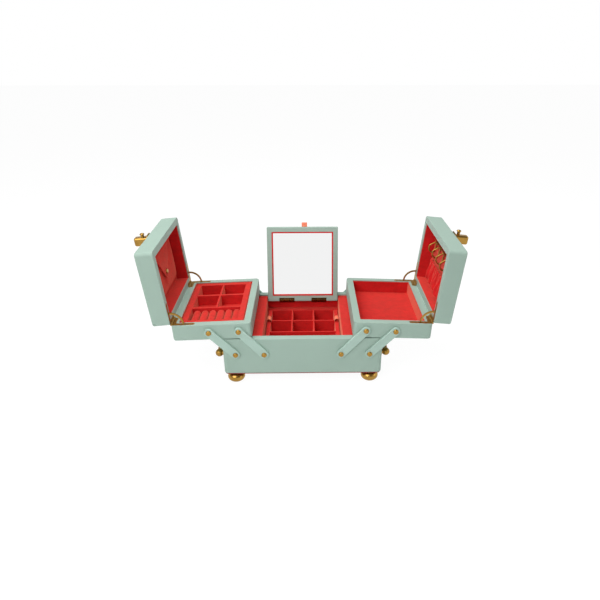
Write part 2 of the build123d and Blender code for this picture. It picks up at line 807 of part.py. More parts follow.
with BuildPart() as mirror_frame:
    with BuildSketch(mirror_plane(-half_frame)):
        with Locations((mirror_middle, 0)):
            Rectangle(mirror_height, 2 * mirror_half_width)
    extrude(amount=mirror_frame_thickness)
    soften(mirror_frame, mirror_plane(), mirror_edge_radius, mirror_edge_radius, mirror_edge_radius)
    with BuildSketch(mirror_plane(-half_frame)):
        with Locations((recess_middle, 0)):
            Rectangle(recess_length, recess_width)
    extrude(amount=recess_depth, mode=Mode.SUBTRACT)
    with BuildSketch(mirror_plane(-half_frame)):
        with Locations(*[((mirror_notch_reach - mirror_edge_beyond_axis) / 2, x) for x in hinge_places]):
            Rectangle(mirror_notch_reach + mirror_edge_beyond_axis, notch_width)
    extrude(amount=mirror_frame_thickness, mode=Mode.SUBTRACT)
save(mirror_frame.part, "mirror_frame")

with BuildPart() as mirror_trim:
    with BuildSketch(mirror_plane(recess_depth - half_frame)):
        with Locations((recess_middle, 0)):
            Rectangle(recess_length, recess_width)
            Rectangle(glass_length, glass_width, mode=Mode.SUBTRACT)
    extrude(amount=-(recess_depth - mirror_trim_drop))
save(mirror_trim.part, "mirror_trim")

with BuildPart() as mirror_glass:
    with BuildSketch(mirror_plane(recess_depth - half_frame)):
        with Locations((recess_middle, 0)):
            Rectangle(glass_length, glass_width)
    extrude(amount=-mirror_glass_thickness)
save(mirror_glass.part, "mirror_glass")

with BuildPart() as mirror_ribbon:
    with BuildSketch(mirror_plane()):
        with Locations((mirror_free_edge + mirror_ribbon_reach / 2, mirror_ribbon_offset)):
            Rectangle(mirror_ribbon_reach, ribbon_width)
    extrude(amount=mirror_ribbon_thickness / 2, both=True)
save(mirror_ribbon.part, "mirror_ribbon")

mirror_knuckle = (mirror_hinge_width - 2 * knuckle_gap) / 3
mirror_knuckle_pitch = mirror_knuckle + knuckle_gap


def across(x):
    """Section across the mirror's hinge axis at x: its x to the back, its y up."""
    return Plane(origin=mirror_axis + Vector(x, 0, 0), x_dir=(0, 1, 0), z_dir=(1, 0, 0))


def mirror_section(x):
    """Section across the mirror lid at x: its x to the free edge, its y to the back."""
    return Plane(origin=mirror_axis + Vector(x, 0, 0), x_dir=mirror_along, z_dir=(-1, 0, 0))


with BuildPart() as wall_leaves:
    for place in hinge_places:
        start = place - mirror_hinge_width / 2
        wall_gap = well_back - mirror_axis.Y
        leaf_middle = (mirror_wall_leaf_top - mirror_wall_leaf_length) / 2
        with BuildSketch(across(start)):
            with Locations((wall_gap - leaf_thickness / 2, leaf_middle)):
                Rectangle(leaf_thickness, mirror_wall_leaf_length)
        extrude(amount=mirror_hinge_width)
        for slot_place in (0, 2):
            segment = start + slot_place * mirror_knuckle_pitch
            with BuildSketch(across(segment)):
                Circle(mirror_knuckle_radius)
                with Locations(((wall_gap - leaf_thickness) / 2, 0)):
                    Rectangle(wall_gap - leaf_thickness, leaf_thickness)
                Circle(mirror_pin_radius, mode=Mode.SUBTRACT)
            extrude(amount=mirror_knuckle)
        for spread in ENDS.values():
            screw_x = place + spread * screw_spacing / 2
            screw_y = well_back - leaf_thickness
            screw_z = mirror_axis.Z - mirror_knuckle_radius - screw_radius
            with BuildSketch(Plane(origin=(screw_x, screw_y, screw_z), x_dir=(1, 0, 0), z_dir=(0, -1, 0))):
                Circle(screw_radius)
            extrude(amount=screw_rise)
save(wall_leaves.part, "mirror_wall_leaves")

with BuildPart() as frame_leaves:
    for place in hinge_places:
        start = place - mirror_hinge_width / 2
        with BuildSketch(mirror_section(place)):
            with Locations((mirror_notch_reach - leaf_thickness / 2, 0)):
                Rectangle(leaf_thickness, mirror_leaf_depth)
        extrude(amount=mirror_hinge_width / 2, both=True)
        with BuildSketch(mirror_section(place)):
            Circle(mirror_knuckle_radius)
            with Locations(((mirror_notch_reach - leaf_thickness) / 2, 0)):
                Rectangle(mirror_notch_reach - leaf_thickness, leaf_thickness)
            Circle(mirror_pin_radius + pin_fit, mode=Mode.SUBTRACT)
        extrude(amount=mirror_knuckle / 2, both=True)
save(frame_leaves.part, "mirror_frame_leaves")

with BuildPart() as mirror_pins:
    for place in hinge_places:
        with BuildSketch(across(place)):
            Circle(mirror_pin_radius)
        extrude(amount=mirror_hinge_width / 2, both=True)
save(mirror_pins.part, "mirror_pins")

# ================================================================ clasps
for name, side in SIDES.items():
    top_plane = lid_plane(side, rim_gap / 2 + lid_height)
    block_end = lid_length - clasp_back_from_edge
    block_middle = block_end - clasp_length / 2
    with BuildPart() as clasp:
        with BuildSketch(top_plane):
            with Locations((block_middle, 0)):
                RectangleRounded(clasp_plate_length, clasp_plate_width, clasp_plate_corner_radius)
        extrude(amount=clasp_plate_thickness)
        with BuildSketch(top_plane.offset(clasp_plate_thickness)):
            with Locations((block_middle, 0)):
                RectangleRounded(clasp_length, clasp_width, clasp_edge_radius)
        extrude(amount=clasp_height - clasp_plate_thickness)
        outward = Axis(top_plane.origin, top_plane.z_dir)
        outer_face = clasp.faces().filter_by(outward).sort_by(outward)[-1]
        fillet(outer_face.edges(), clasp_nose_radius)
    save(clasp.part, f"{name}_clasp_block")

    knob_origin = top_plane.from_local_coords(Vector(block_end, -clasp_offset, knob_rise))
    knob_middle = knob_reach - knob_thickness / 2
    neck_angle = 180 - degrees(asin(knob_neck_radius / knob_radius))
    with BuildPart() as knob:
        with BuildSketch(Plane(origin=knob_origin, x_dir=top_plane.x_dir, z_dir=top_plane.y_dir)):
            with BuildLine():
                head = EllipticalCenterArc(
                    (knob_middle, 0), knob_thickness / 2, knob_radius, arc_size=neck_angle
                )
                Polyline(head @ 1, (0, knob_neck_radius), (0, 0), head @ 0)
            make_face()
        revolve(axis=Axis(knob_origin, top_plane.x_dir))
    save(knob.part, f"{name}_clasp_knob")

# ================================================================ fittings of the left lid
lid_floor = lid_height - lid_top - lining
pocket_start = lid_wall + lining + pocket_hinge_margin
pocket_half_depth = well_back - pocket_margin
pocket_surface = lid_floor - pocket_thickness

with BuildPart() as left_pocket:
    with BuildSketch(rim_plane(left, "lid", lid_floor)):
        with Locations(((pocket_start + pocket_end) / 2, 0)):
            Rectangle(pocket_end - pocket_start, 2 * pocket_half_depth)
    extrude(amount=-pocket_thickness)
    outward = Axis((0, 0, 0), rim_plane(left, "lid").z_dir * -1)
    fillet(left_pocket.faces().filter_by(outward).sort_by(outward)[-1].edges(), pocket_edge_radius)
save(left_pocket.part, "left_pocket")

flap_plane = rim_plane(left, "lid", pocket_surface - flap_gap)
with BuildPart() as pocket_flap:
    with BuildSketch(flap_plane):
        with BuildLine():
            Polyline((flap_tip, 0), (flap_start, flap_half_width), (flap_start, -flap_half_width), close=True)
        outline = make_face()
        corners = outline.vertices().sort_by(Axis.Z)
        fillet(corners[0], flap_tip_radius)
        fillet(corners[1:], flap_shoulder_radius)
    extrude(amount=-flap_thickness)
save(pocket_flap.part, "pocket_flap")

with BuildPart() as flap_snap:
    with BuildSketch(flap_plane.offset(-flap_thickness)):
        with Locations((flap_tip + snap_from_tip, 0)):
            Circle(snap_radius)
    extrude(amount=-snap_height)
    fillet(flap_snap.faces().sort_by(Axis.X)[-1].edges(), snap_crown_radius)
save(flap_snap.part, "flap_snap")

# ================================================================ fittings of the right lid
right = SIDES["right"]
gather_start = lid_wall + lining + pocket_margin
with BuildPart() as right_pocket:
    with BuildSketch(rim_plane(right, "lid", lid_floor)):
        with Locations(((gather_start + gather_end) / 2, 0)):
            Rectangle(gather_end - gather_start, 2 * pocket_half_depth)
    extrude(amount=-gather_thickness)
    outward = Axis((0, 0, 0), rim_plane(right, "lid").z_dir * -1)
    fillet(right_pocket.faces().filter_by(outward).sort_by(outward)[-1].edges(), gather_edge_radius)
save(right_pocket.part, "right_pocket")

bead_rise = gather_thickness - gather_edge_radius - gather_bead_radius / 2
with BuildPart() as pocket_bead:
    bead_frame = rim_plane(right, "lid", lid_floor - bead_rise)
    bead_origin = bead_frame.from_local_coords(Vector(gather_end + gather_bead_radius, 0, 0))
    with BuildSketch(Plane(origin=bead_origin, x_dir=bead_frame.x_dir, z_dir=bead_frame.y_dir)):
        Circle(gather_bead_radius)
    extrude(amount=pocket_half_depth, both=True)
save(pocket_bead.part, "right_pocket_edge")

hook_spacing = 2 * (well_back - hook_end_margin) / (hook_count - 1)
hook_frame = rim_plane(right, "lid")
with BuildPart() as hooks:
    for index in range(hook_count):
        y = (index - (hook_count - 1) / 2) * hook_spacing
        origin = hook_frame.from_local_coords(Vector(hook_from_hinge, y, lid_floor))
        hook_plane = Plane(origin=origin, x_dir=hook_frame.x_dir, z_dir=hook_frame.y_dir)
        with BuildLine(hook_plane) as wire:
            FilletPolyline(
                (0, 0),
                (0, hook_stem),
                (-hook_shoulder, hook_reach),
                (-hook_shoulder - hook_belly, hook_reach),
                (-hook_length, hook_nose),
                (hook_return - hook_length, hook_tip_gap),
                radius=hook_bend,
            )
        with BuildSketch(Plane(origin=wire.line @ 0, z_dir=wire.line % 0)):
            Circle(hook_wire_radius)
        sweep(path=wire.line)
        with BuildSketch(Plane(origin=origin, x_dir=hook_frame.x_dir, z_dir=hook_frame.z_dir * -1)):
            Circle(hook_plate_radius)
        extrude(amount=hook_plate_thickness)
save(hooks.part, "right_hooks")
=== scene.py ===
"""Looks of a two-sided vanity box with a mirror: covered boards, suede linings, soft pockets,
ribbons and brass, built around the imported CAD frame."""
import json
import math

import bmesh
import bpy
from mathutils import Matrix, Vector, noise


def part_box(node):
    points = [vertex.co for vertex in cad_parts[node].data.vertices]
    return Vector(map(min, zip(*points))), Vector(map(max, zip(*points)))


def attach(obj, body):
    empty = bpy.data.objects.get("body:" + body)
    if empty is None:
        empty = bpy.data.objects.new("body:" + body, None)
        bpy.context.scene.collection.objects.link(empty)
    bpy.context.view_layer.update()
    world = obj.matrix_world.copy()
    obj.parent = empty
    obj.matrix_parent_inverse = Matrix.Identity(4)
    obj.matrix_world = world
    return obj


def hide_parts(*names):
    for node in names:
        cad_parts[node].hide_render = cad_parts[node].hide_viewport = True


bl_info = {
    "name": "Vanity box finishes",
    "version": (1, 0, 0),
    "blender": (4, 5, 0),
    "location": "View3D > Sidebar > Vanity box",
    "description": "Covers, linings, soft pockets, ribbons and brass of a vanity box",
    "category": "Object",
}

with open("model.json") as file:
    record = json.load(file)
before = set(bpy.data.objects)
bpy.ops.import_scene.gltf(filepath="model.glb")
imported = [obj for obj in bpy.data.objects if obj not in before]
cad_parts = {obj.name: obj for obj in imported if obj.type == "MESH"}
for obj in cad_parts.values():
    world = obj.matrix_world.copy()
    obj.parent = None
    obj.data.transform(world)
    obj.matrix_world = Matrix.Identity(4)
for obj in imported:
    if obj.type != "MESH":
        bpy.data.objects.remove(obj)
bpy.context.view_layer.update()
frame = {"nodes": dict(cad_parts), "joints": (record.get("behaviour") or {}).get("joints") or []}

MM = 0.001
SIDES = {"left": -1, "right": 1}
JOINTS = {joint["name"]: joint for joint in frame["joints"]}
case_low, case_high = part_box("base_case")
MIDDLE_Y = (case_low.y + case_high.y) / 2
DROOP = 2.1  # degrees that an open tray box tips outwards
LID_TURN = 93.5  # degrees from a shut lid to an open one
TRAY_DROOP = math.radians(DROOP)
LID_LEAN = math.radians(LID_TURN + DROOP - 90)
LID_FLOOR = 22.3 * MM  # from a lid's hinge line back to the floor of its lining
LEAF_FACE = 0.3 * MM  # from a hinge line back to the faces of its leaves and the box's rim
NOISE_SPAN = (0.3, 0.7)  # where most of a noise's values lie
MATERIALS = {}


# ---------------------------------------------------------------- settings
class VanityCovers(bpy.types.PropertyGroup):
    """Colours of the covers, linings, ribbons and metal."""

    cover: bpy.props.FloatVectorProperty(
        name="Cover", description="Leatherette of the cases",
        subtype="COLOR", default=(0.322, 0.440, 0.374),
    )
    painted: bpy.props.FloatVectorProperty(
        name="Arms", description="Paint of the folding arms",
        subtype="COLOR", default=(0.375, 0.520, 0.450),
    )
    suede: bpy.props.FloatVectorProperty(
        name="Suede", description="Suede of the linings",
        subtype="COLOR", default=(0.600, 0.013, 0.016),
    )
    ribbon: bpy.props.FloatVectorProperty(
        name="Ribbon", description="Satin of the pull ribbons",
        subtype="COLOR", default=(0.930, 0.230, 0.120),
    )
    felt: bpy.props.FloatVectorProperty(
        name="Felt", description="Felt under the base",
        subtype="COLOR", default=(0.300, 0.030, 0.035),
    )
    brass: bpy.props.FloatVectorProperty(
        name="Brass", description="Brass of the fittings",
        subtype="COLOR", default=(0.420, 0.240, 0.054),
    )
    # painted shade: a darker copy of the brass for the mirror hinges, standing in for the shade and
    # dark reflections they sit in under the frame
    aged: bpy.props.FloatVectorProperty(
        name="Shaded brass", description="Darkened brass of the mirror hinges",
        subtype="COLOR", default=(0.160, 0.080, 0.022),
    )
    grain: bpy.props.FloatProperty(
        name="Grain", description="Size of the leatherette's pebbles",
        default=0.9 * MM, unit="LENGTH",
    )
    nap: bpy.props.FloatProperty(
        name="Nap", description="Size of the suede's fibres",
        default=0.35 * MM, unit="LENGTH",
    )


class VanitySoft(bpy.types.PropertyGroup):
    """Sizes of the pads, pockets and folds."""

    roll_crown: bpy.props.FloatProperty(
        name="Roll crown", description="Swell of a ring roll along its length",
        default=0.5 * MM, unit="LENGTH",
    )
    pocket_crown: bpy.props.FloatProperty(
        name="Pocket crown", description="Swell of the padded pocket",
        default=1.8 * MM, unit="LENGTH",
    )
    fold_pitch: bpy.props.FloatProperty(
        name="Fold pitch", description="Distance between the loose folds",
        default=25 * MM, unit="LENGTH",
    )
    fold_depth: bpy.props.FloatProperty(
        name="Fold depth", description="Depth of the loose folds",
        default=2.8 * MM, unit="LENGTH",
    )
    pleat_pitch: bpy.props.FloatProperty(
        name="Pleat pitch", description="Distance between the gathers",
        default=7.2 * MM, unit="LENGTH",
    )
    pleat_depth: bpy.props.FloatProperty(
        name="Pleat depth", description="Depth of the gathers under the elastic",
        default=0.9 * MM, unit="LENGTH",
    )
    cloth: bpy.props.FloatProperty(
        name="Cloth", description="Thickness of the gathered pocket's cloth",
        default=0.8 * MM, unit="LENGTH",
    )
    flap: bpy.props.FloatProperty(
        name="Flap", description="Thickness of the lined envelope flap",
        default=1.6 * MM, unit="LENGTH",
    )


class VanityStage(bpy.types.PropertyGroup):
    """Light, floor and camera."""

    key_power: bpy.props.FloatProperty(
        name="Key", description="Power of the key softbox, on the left", default=9.2, unit="POWER"
    )
    fill_power: bpy.props.FloatProperty(
        name="Fill", description="Power of the fill softbox, on the right",
        default=3.8, unit="POWER",
    )
    top_power: bpy.props.FloatProperty(
        name="Top", description="Power of the softbox overhead", default=12.2, unit="POWER"
    )
    world_light: bpy.props.FloatProperty(
        name="World", description="Strength of the room light", default=0.26, min=0.0
    )
    floor_glow: bpy.props.FloatProperty(
        name="Floor glow", description="Share of the floor that shows white",
        default=0.90, min=0.0, max=1.0,
    )
    ceiling: bpy.props.FloatProperty(
        name="Ceiling", description="Strength of the upper room in reflections",
        default=0.22, min=0.0,
    )
    lens: bpy.props.FloatProperty(
        name="Lens", description="Focal length, in mm", default=31.73, min=1.0
    )


# ---------------------------------------------------------------- shader maths
class Value:
    """A number that varies over a surface: one socket, with Python's arithmetic."""

    def __init__(self, tree, socket):
        self.tree = tree
        self.socket = socket

    def maths(self, operation, *terms):
        """Add a Math node."""
        node = self.tree.add("ShaderNodeMath", {"operation": operation}, dict(enumerate(terms)))
        return Value(self.tree, node.outputs[0])

    def __add__(self, other):
        return self.maths("ADD", self, other)

    def __radd__(self, other):
        return self.maths("ADD", other, self)

    def __sub__(self, other):
        return self.maths("SUBTRACT", self, other)

    def __rsub__(self, other):
        return self.maths("SUBTRACT", other, self)

    def __mul__(self, other):
        return self.maths("MULTIPLY", self, other)

    def __rmul__(self, other):
        return self.maths("MULTIPLY", other, self)


class Tree:
    """A node tree, built node by node."""

    def __init__(self, tree):
        self.nodes = tree.nodes
        self.links = tree.links
        self.nodes.clear()

    def add(self, kind, settings=None, values=None):
        """Add a node: its settings first, then the values or links of its sockets."""
        node = self.nodes.new(kind)
        for key, setting in (settings or {}).items():
            setattr(node, key, setting)
        self.fill(node, values or {})
        return node

    def fill(self, node, values):
        """Set or link a node's input sockets."""
        for key, value in values.items():
            socket = node.inputs[key]
            if isinstance(value, Value):
                self.links.new(value.socket, socket)
            elif isinstance(value, bpy.types.NodeSocket):
                self.links.new(value, socket)
            else:
                socket.default_value = value

    def limits(self, value, start, end, low=0.0, high=1.0):
        """Stretch the part of a value between start and end over low to high."""
        sockets = {0: value, 1: start, 2: end, 3: low, 4: high}
        return Value(self, self.add("ShaderNodeMapRange", values=sockets).outputs[0])

    def seen(self):
        """1 for the rays that see the background: straight, in a gloss or through glass."""
        path = self.add("ShaderNodeLightPath").outputs
        kinds = ("Camera", "Glossy", "Transmission")
        straight, *others = [Value(self, path[f"Is {kind} Ray"]) for kind in kinds]
        return sum(others, straight)


class Finish(Tree):
    """One procedural material."""

    def __init__(self, name):
        self.material = bpy.data.materials.new(name)
        self.material.use_nodes = True
        super().__init__(self.material.node_tree)
        self.shader = self.add("ShaderNodeBsdfPrincipled")
        self.output = self.add(
            "ShaderNodeOutputMaterial", values={"Surface": self.shader.outputs[0]}
        )
        self.place = self.add("ShaderNodeTexCoord").outputs["Object"]

    def noise(self, size, detail=2.0, roughness=0.5, stretch=(1, 1, 1)):
        """Noise of a given size in metres, from 0 to 1."""
        place = self.add("ShaderNodeMapping", values={"Vector": self.place, "Scale": stretch})
        sockets = {
            "Vector": place.outputs[0], "Scale": 1 / size, "Detail": detail, "Roughness": roughness
        }
        return Value(self, self.add("ShaderNodeTexNoise", values=sockets).outputs[0])

    def cells(self, size):
        """Distance to the nearest of scattered points, size metres apart."""
        sockets = {"Vector": self.place, "Scale": 1 / size}
        return Value(self, self.add("ShaderNodeTexVoronoi", values=sockets).outputs[0])

    def ribs(self, scale, distortion, detail):
        """Bands that follow each other up z, 314 mm apart at a scale of 1, from 0 to 1."""
        settings = {"wave_type": "BANDS", "bands_direction": "Z"}
        sockets = {
            "Vector": self.place, "Scale": scale, "Distortion": distortion, "Detail": detail
        }
        return Value(self, self.add("ShaderNodeTexWave", settings, sockets).outputs["Fac"])

    def blend(self, factor, first, second):
        """Mix two colours by a value."""
        sockets = {0: factor, 6: (*first, 1), 7: (*second, 1)}
        return self.add("ShaderNodeMix", {"data_type": "RGBA"}, sockets).outputs[2]

    def bump(self, height, depth, strength=1.0):
        """Raise the surface by height times depth metres."""
        sockets = {"Height": height, "Distance": depth, "Strength": strength}
        raised = self.add("ShaderNodeBump", values=sockets)
        self.fill(self.shader, {"Normal": raised.outputs[0]})

    def finish(self, **sockets):
        """Set the shader's own sockets; underscores stand for spaces."""
        self.fill(self.shader, {key.replace("_", " "): value for key, value in sockets.items()})
        return self.material


def shade(colour, factor):
    """A colour made lighter or darker."""
    return tuple(min(1.0, part * factor) for part in colour)


# ---------------------------------------------------------------- finishes
def leatherette(colour, grain):
    """Pebbled leatherette over board: satin, in tones that barely vary."""
    cover = Finish("sage leatherette")
    pebbles, pores = cover.cells(grain), cover.noise(grain * 2.2, detail=3.0)
    creases, patches = cover.noise(grain * 14, detail=3.0), cover.noise(60 * MM)
    cover.bump(pebbles * -0.7 + pores * 0.6, depth=0.12 * MM, strength=0.55)
    tone = cover.limits(patches * 0.6 + creases * 0.4, *NOISE_SPAN)
    return cover.finish(
        Base_Color=cover.blend(tone, shade(colour, 0.975), shade(colour, 1.02)),
        Roughness=cover.limits(creases, *NOISE_SPAN, low=0.52, high=0.64),
        Specular_IOR_Level=0.42,
    )


def painted_metal(colour):
    """Satin paint on the flat arms, with the faintest orange peel."""
    paint = Finish("sage paint")
    peel, tone = paint.noise(1.6 * MM, detail=1.0), paint.noise(30 * MM)
    paint.bump(peel, depth=0.05 * MM, strength=0.3)
    return paint.finish(
        Base_Color=paint.blend(tone, shade(colour, 0.97), shade(colour, 1.02)),
        Roughness=paint.limits(peel, 0.2, 0.8, low=0.38, high=0.46),
        Specular_IOR_Level=0.5,
    )


def suede(colour, nap):
    """Short-napped suede cloth: brushed patches, fine fibres and a soft sheen."""
    cloth = Finish("red suede")
    brushed = cloth.noise(8 * MM, detail=4.0, roughness=0.6, stretch=(0.7, 1, 1))
    fibres = cloth.noise(nap, detail=4.0, roughness=0.7)
    tufts = cloth.noise(nap * 5)
    cloth.bump(fibres * 0.7 + tufts * 0.5, depth=0.10 * MM, strength=0.5)
    tone = cloth.limits(brushed * 0.75 + fibres * 0.25, 0.36, 0.64)
    return cloth.finish(
        Base_Color=cloth.blend(tone, shade(colour, 0.87), shade(colour, 1.10)),
        Roughness=cloth.limits(brushed, *NOISE_SPAN, low=0.82, high=0.94),
        Specular_IOR_Level=0.08,
        Sheen_Weight=0.66,
        Sheen_Roughness=0.50,
        Sheen_Tint=(1.0, 0.38, 0.24, 1),
    )


def satin(colour):
    """Woven satin ribbon with ribs about 1 mm apart."""
    ribbon = Finish("coral satin")
    weave = ribbon.ribs(318.47134, distortion=0.6, detail=1.0)
    threads = ribbon.noise(0.4 * MM)
    ribbon.bump(weave * 0.6 + threads * 0.4, depth=0.06 * MM, strength=0.5)
    return ribbon.finish(
        Base_Color=ribbon.blend(weave, shade(colour, 0.86), colour),
        Roughness=ribbon.limits(weave, 0.0, 1.0, low=0.36, high=0.48),
        Sheen_Weight=0.3,
        Sheen_Roughness=0.3,
    )


def brushed_brass(name, colour, low, high):
    """Brass with hairlines and a slight tarnish, its roughness from low to high."""
    metal = Finish(name)
    hairlines = metal.noise(0.6 * MM, detail=3.0, roughness=0.6, stretch=(1, 0.12, 1))
    tarnish = metal.noise(9 * MM, detail=3.0)
    metal.bump(hairlines, depth=0.02 * MM, strength=0.25)
    tone = metal.limits(tarnish, *NOISE_SPAN)
    wear = tarnish * 0.5 + hairlines * 0.5
    return metal.finish(
        Base_Color=metal.blend(tone, shade(colour, 0.82), shade(colour, 1.08)),
        Metallic=1.0,
        Roughness=metal.limits(wear, *NOISE_SPAN, low, high),
    )


def silvered_glass():
    """Mirror glass, with the faintest haze."""
    mirror = Finish("silvered glass")
    haze = mirror.noise(40 * MM)
    return mirror.finish(
        Base_Color=(0.885, 0.888, 0.888, 1),
        Metallic=1.0,
        Roughness=mirror.limits(haze, *NOISE_SPAN, low=0.015, high=0.03),
    )


def felted(colour):
    """Matted felt under the base."""
    felt = Finish("red felt")
    fibres = felt.noise(0.8 * MM, detail=5.0, roughness=0.75)
    felt.bump(fibres, depth=0.3 * MM, strength=0.7)
    return felt.finish(
        Base_Color=felt.blend(fibres, shade(colour, 0.75), shade(colour, 1.15)),
        Roughness=0.95,
        Sheen_Weight=0.4,
        Sheen_Roughness=0.5,
    )


def finishes():
    """The finishes by name, made once."""
    covers = bpy.context.scene.vanity_covers
    if not MATERIALS:
        brass, aged = tuple(covers.brass), tuple(covers.aged)
        MATERIALS.update(
            cover=leatherette(tuple(covers.cover), covers.grain),
            paint=painted_metal(tuple(covers.painted)),
            suede=suede(tuple(covers.suede), covers.nap),
            ribbon=satin(tuple(covers.ribbon)),
            brass=brushed_brass("polished brass", brass, 0.22, 0.32),
            satin_brass=brushed_brass("satin brass", brass, 0.38, 0.50),
            # the darker brass of the mirror hinges is painted shade, not tarnish
            aged=brushed_brass("aged brass", aged, 0.22, 0.32),
            mirror=silvered_glass(),
            felt=felted(tuple(covers.felt)),
        )
    return MATERIALS


def dress(material, *names):
    """Give a finish to CAD nodes."""
    for name in names:
        node = frame["nodes"][name]
        node.data.materials.clear()
        node.data.materials.append(material)


# ---------------------------------------------------------------- places
def basis(origin, x, y, z):
    """Matrix that carries a piece drawn flat to its place."""
    turn = Matrix((x, y, z)).transposed().to_4x4()
    return Matrix.Translation(origin) @ turn


def hinge_middle(side):
    """The middle of the hinge line between a tray box and its lid."""
    hinge = Vector(JOINTS[("left" if side < 0 else "right") + "_lid_hinge"]["pos_m"])
    return Vector((hinge.x, MIDDLE_Y, hinge.z))


def lid_frame(side, depth=LID_FLOOR):
    """Face of an open lid: x from the hinge up, z out of it, `depth` behind the hinge line."""
    along = Vector((side * math.sin(LID_LEAN), 0, math.cos(LID_LEAN)))
    out = Vector((-side * math.cos(LID_LEAN), 0, math.sin(LID_LEAN)))
    return basis(hinge_middle(side) - out * depth, along, Vector((0, side, 0)), out)


def tray_frame(side):
    """Rim of a tray box: x from the hinge inwards, z up."""
    inward = Vector((-side * math.cos(TRAY_DROOP), 0, math.sin(TRAY_DROOP)))
    up = Vector((side * math.sin(TRAY_DROOP), 0, math.cos(TRAY_DROOP)))
    return basis(hinge_middle(side) - up * LEAF_FACE, inward, Vector((0, -side, 0)), up)


# ---------------------------------------------------------------- pieces
def put(name, data):
    """Add an object to the scene."""
    made = bpy.data.objects.new(name, data)
    bpy.context.scene.collection.objects.link(made)
    return made


def piece(name, mesh, place, material, smooth=True):
    """Make a bmesh an object at the origin, with its place in its mesh."""
    bmesh.ops.transform(mesh, matrix=place, verts=mesh.verts)
    bmesh.ops.recalc_face_normals(mesh, faces=mesh.faces)
    data = bpy.data.meshes.new(name)
    mesh.to_mesh(data)
    mesh.free()
    for polygon in data.polygons:
        polygon.use_smooth = smooth
    data.materials.append(material)
    return put(name, data)


def thicken(made, thickness, levels=0, offset=0.0):
    """Give cloth its thickness, then round it if it has levels."""
    solid = made.modifiers.new("thickness", "SOLIDIFY")
    solid.thickness = thickness
    solid.offset = offset
    if levels:
        round_off(made, levels)


def round_off(made, levels):
    """Add a subdivision surface whose view and render levels are equal."""
    surface = made.modifiers.new("rounding", "SUBSURF")
    surface.levels = levels
    surface.render_levels = levels


# ---------------------------------------------------------------- shapes
def ease(value, start, run):
    """Smooth step from 0 to 1 over a run that begins at start."""
    share = min(1.0, max(0.0, (value - start) / run))
    return share * share * (3 - 2 * share)


def wander(x, y, seed):
    """Smooth noise from -1 to 1, a different one for each seed."""
    return noise.noise(Vector((x, y, seed)))


def bevel(mesh, edges, offset, segments):
    """Round some edges of a mesh."""
    bmesh.ops.bevel(
        mesh, geom=edges, offset=offset, segments=segments, profile=0.5,
        affect="EDGES", material=-1,
    )


def stamp(mesh, stock, place):
    """Add a copy of a stock mesh to a bmesh, carried to its place."""
    before = len(mesh.verts)
    mesh.from_mesh(stock)
    mesh.verts.ensure_lookup_table()
    bmesh.ops.transform(mesh, matrix=place, verts=mesh.verts[before:])


def roll_block(width, length, height):
    """A block along y, its back rounded and its ends softened."""
    shoulder, rim = width * 0.47, 1.3 * MM
    block = bmesh.new()
    bmesh.ops.create_cube(block, size=1)
    bmesh.ops.scale(block, vec=(width, length, height), verts=block.verts)
    ridges = [
        edge for edge in block.edges
        if all(end.co.z > 0 for end in edge.verts)
        and edge.verts[0].co.x * edge.verts[1].co.x > 0
    ]
    bevel(block, ridges, shoulder, 7)
    # the two ends are now the only faces with more than four corners
    ends = [edge for edge in block.edges if any(len(face.verts) > 4 for face in edge.link_faces)]
    bevel(block, ends, rim, 3)
    return block


def pocket_pad(crown):
    """The envelope pocket's pad: thin at its edges, fullest near its two sides."""
    start, end, half = 21 * MM, 105 * MM, 72 * MM
    edge, thickness, foot, uneven = 1.2 * MM, 5 * MM, 0.2 * MM, 0.3 * MM
    full_at, full_width, full_height = 0.74, 0.24, 0.75  # shares of the half width and height
    waist = 0.012  # how far its sides pull in, as a share of the half width
    pad = bmesh.new()
    bmesh.ops.create_grid(pad, x_segments=36, y_segments=56, size=0.5)
    for vert in pad.verts:
        across, up = vert.co.y * 2, vert.co.x * 2
        # high powers keep the pad full until close to its edges
        rim = (1 - abs(up) ** 6) * (1 - abs(across) ** 9)
        bulge = math.exp(-(((abs(across) - full_at) / full_width) ** 2) - (up / full_height) ** 2)
        wave = wander(across * 2.2, up * 1.7, 4.0) * uneven
        vert.co.z = edge + (thickness - edge) * math.sqrt(max(0.0, rim)) + wave
        vert.co.z += crown * bulge
        vert.co.x = start + (up + 1) / 2 * (end - start)
        vert.co.y = across * half * (1 - waist * (1 - abs(across) ** 4) * up**6)
    skirt = bmesh.ops.extrude_edge_only(pad, edges=[e for e in pad.edges if e.is_boundary])
    for part in skirt["geom"]:
        if isinstance(part, bmesh.types.BMVert):
            part.co.z = foot
    bmesh.ops.holes_fill(pad, edges=[e for e in pad.edges if e.is_boundary], sides=0)
    return pad


